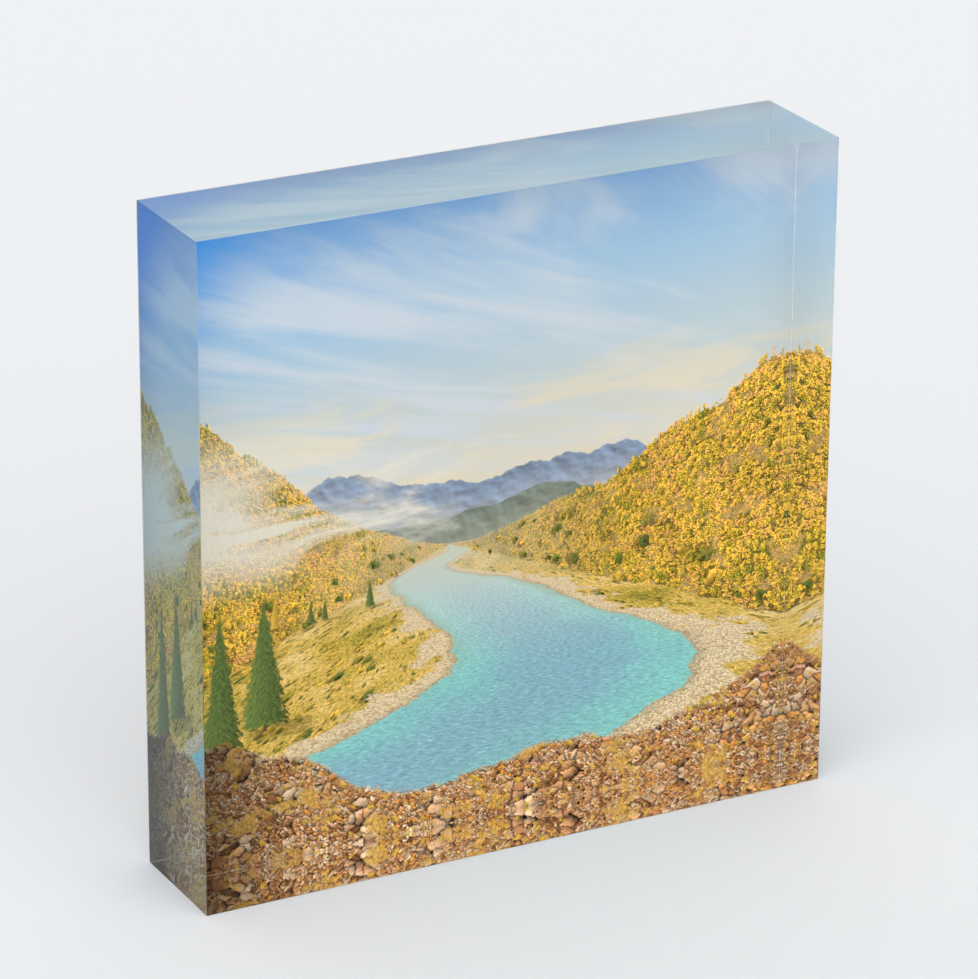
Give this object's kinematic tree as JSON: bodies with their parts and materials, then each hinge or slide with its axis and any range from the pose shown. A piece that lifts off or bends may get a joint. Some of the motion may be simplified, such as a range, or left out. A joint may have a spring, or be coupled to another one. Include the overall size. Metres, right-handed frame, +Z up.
{
  "type": "acrylic photo block",
  "caption": "Free-standing square block of clear polished acrylic with a photo print bonded to its back under a protective film, so the picture shows through the block.",
  "frame": {"origin": "on the standing surface, under the middle of the finished block", "axes": "+X to the right of someone facing the picture, +Y into the block from the picture side, +Z up"},
  "size_m": [0.127, 0.0248, 0.127],
  "materials": {
    "clear_acrylic": "polished",
    "clear_adhesive": "gloss",
    "printed_paper": "satin",
    "white_film": "matte"
  },
  "bodies": {
    "root": {"acrylic_block": "clear_acrylic", "mounting_adhesive": "clear_adhesive", "photo_print": "printed_paper", "backing_film": "white_film"}
  },
  "joints": []
}
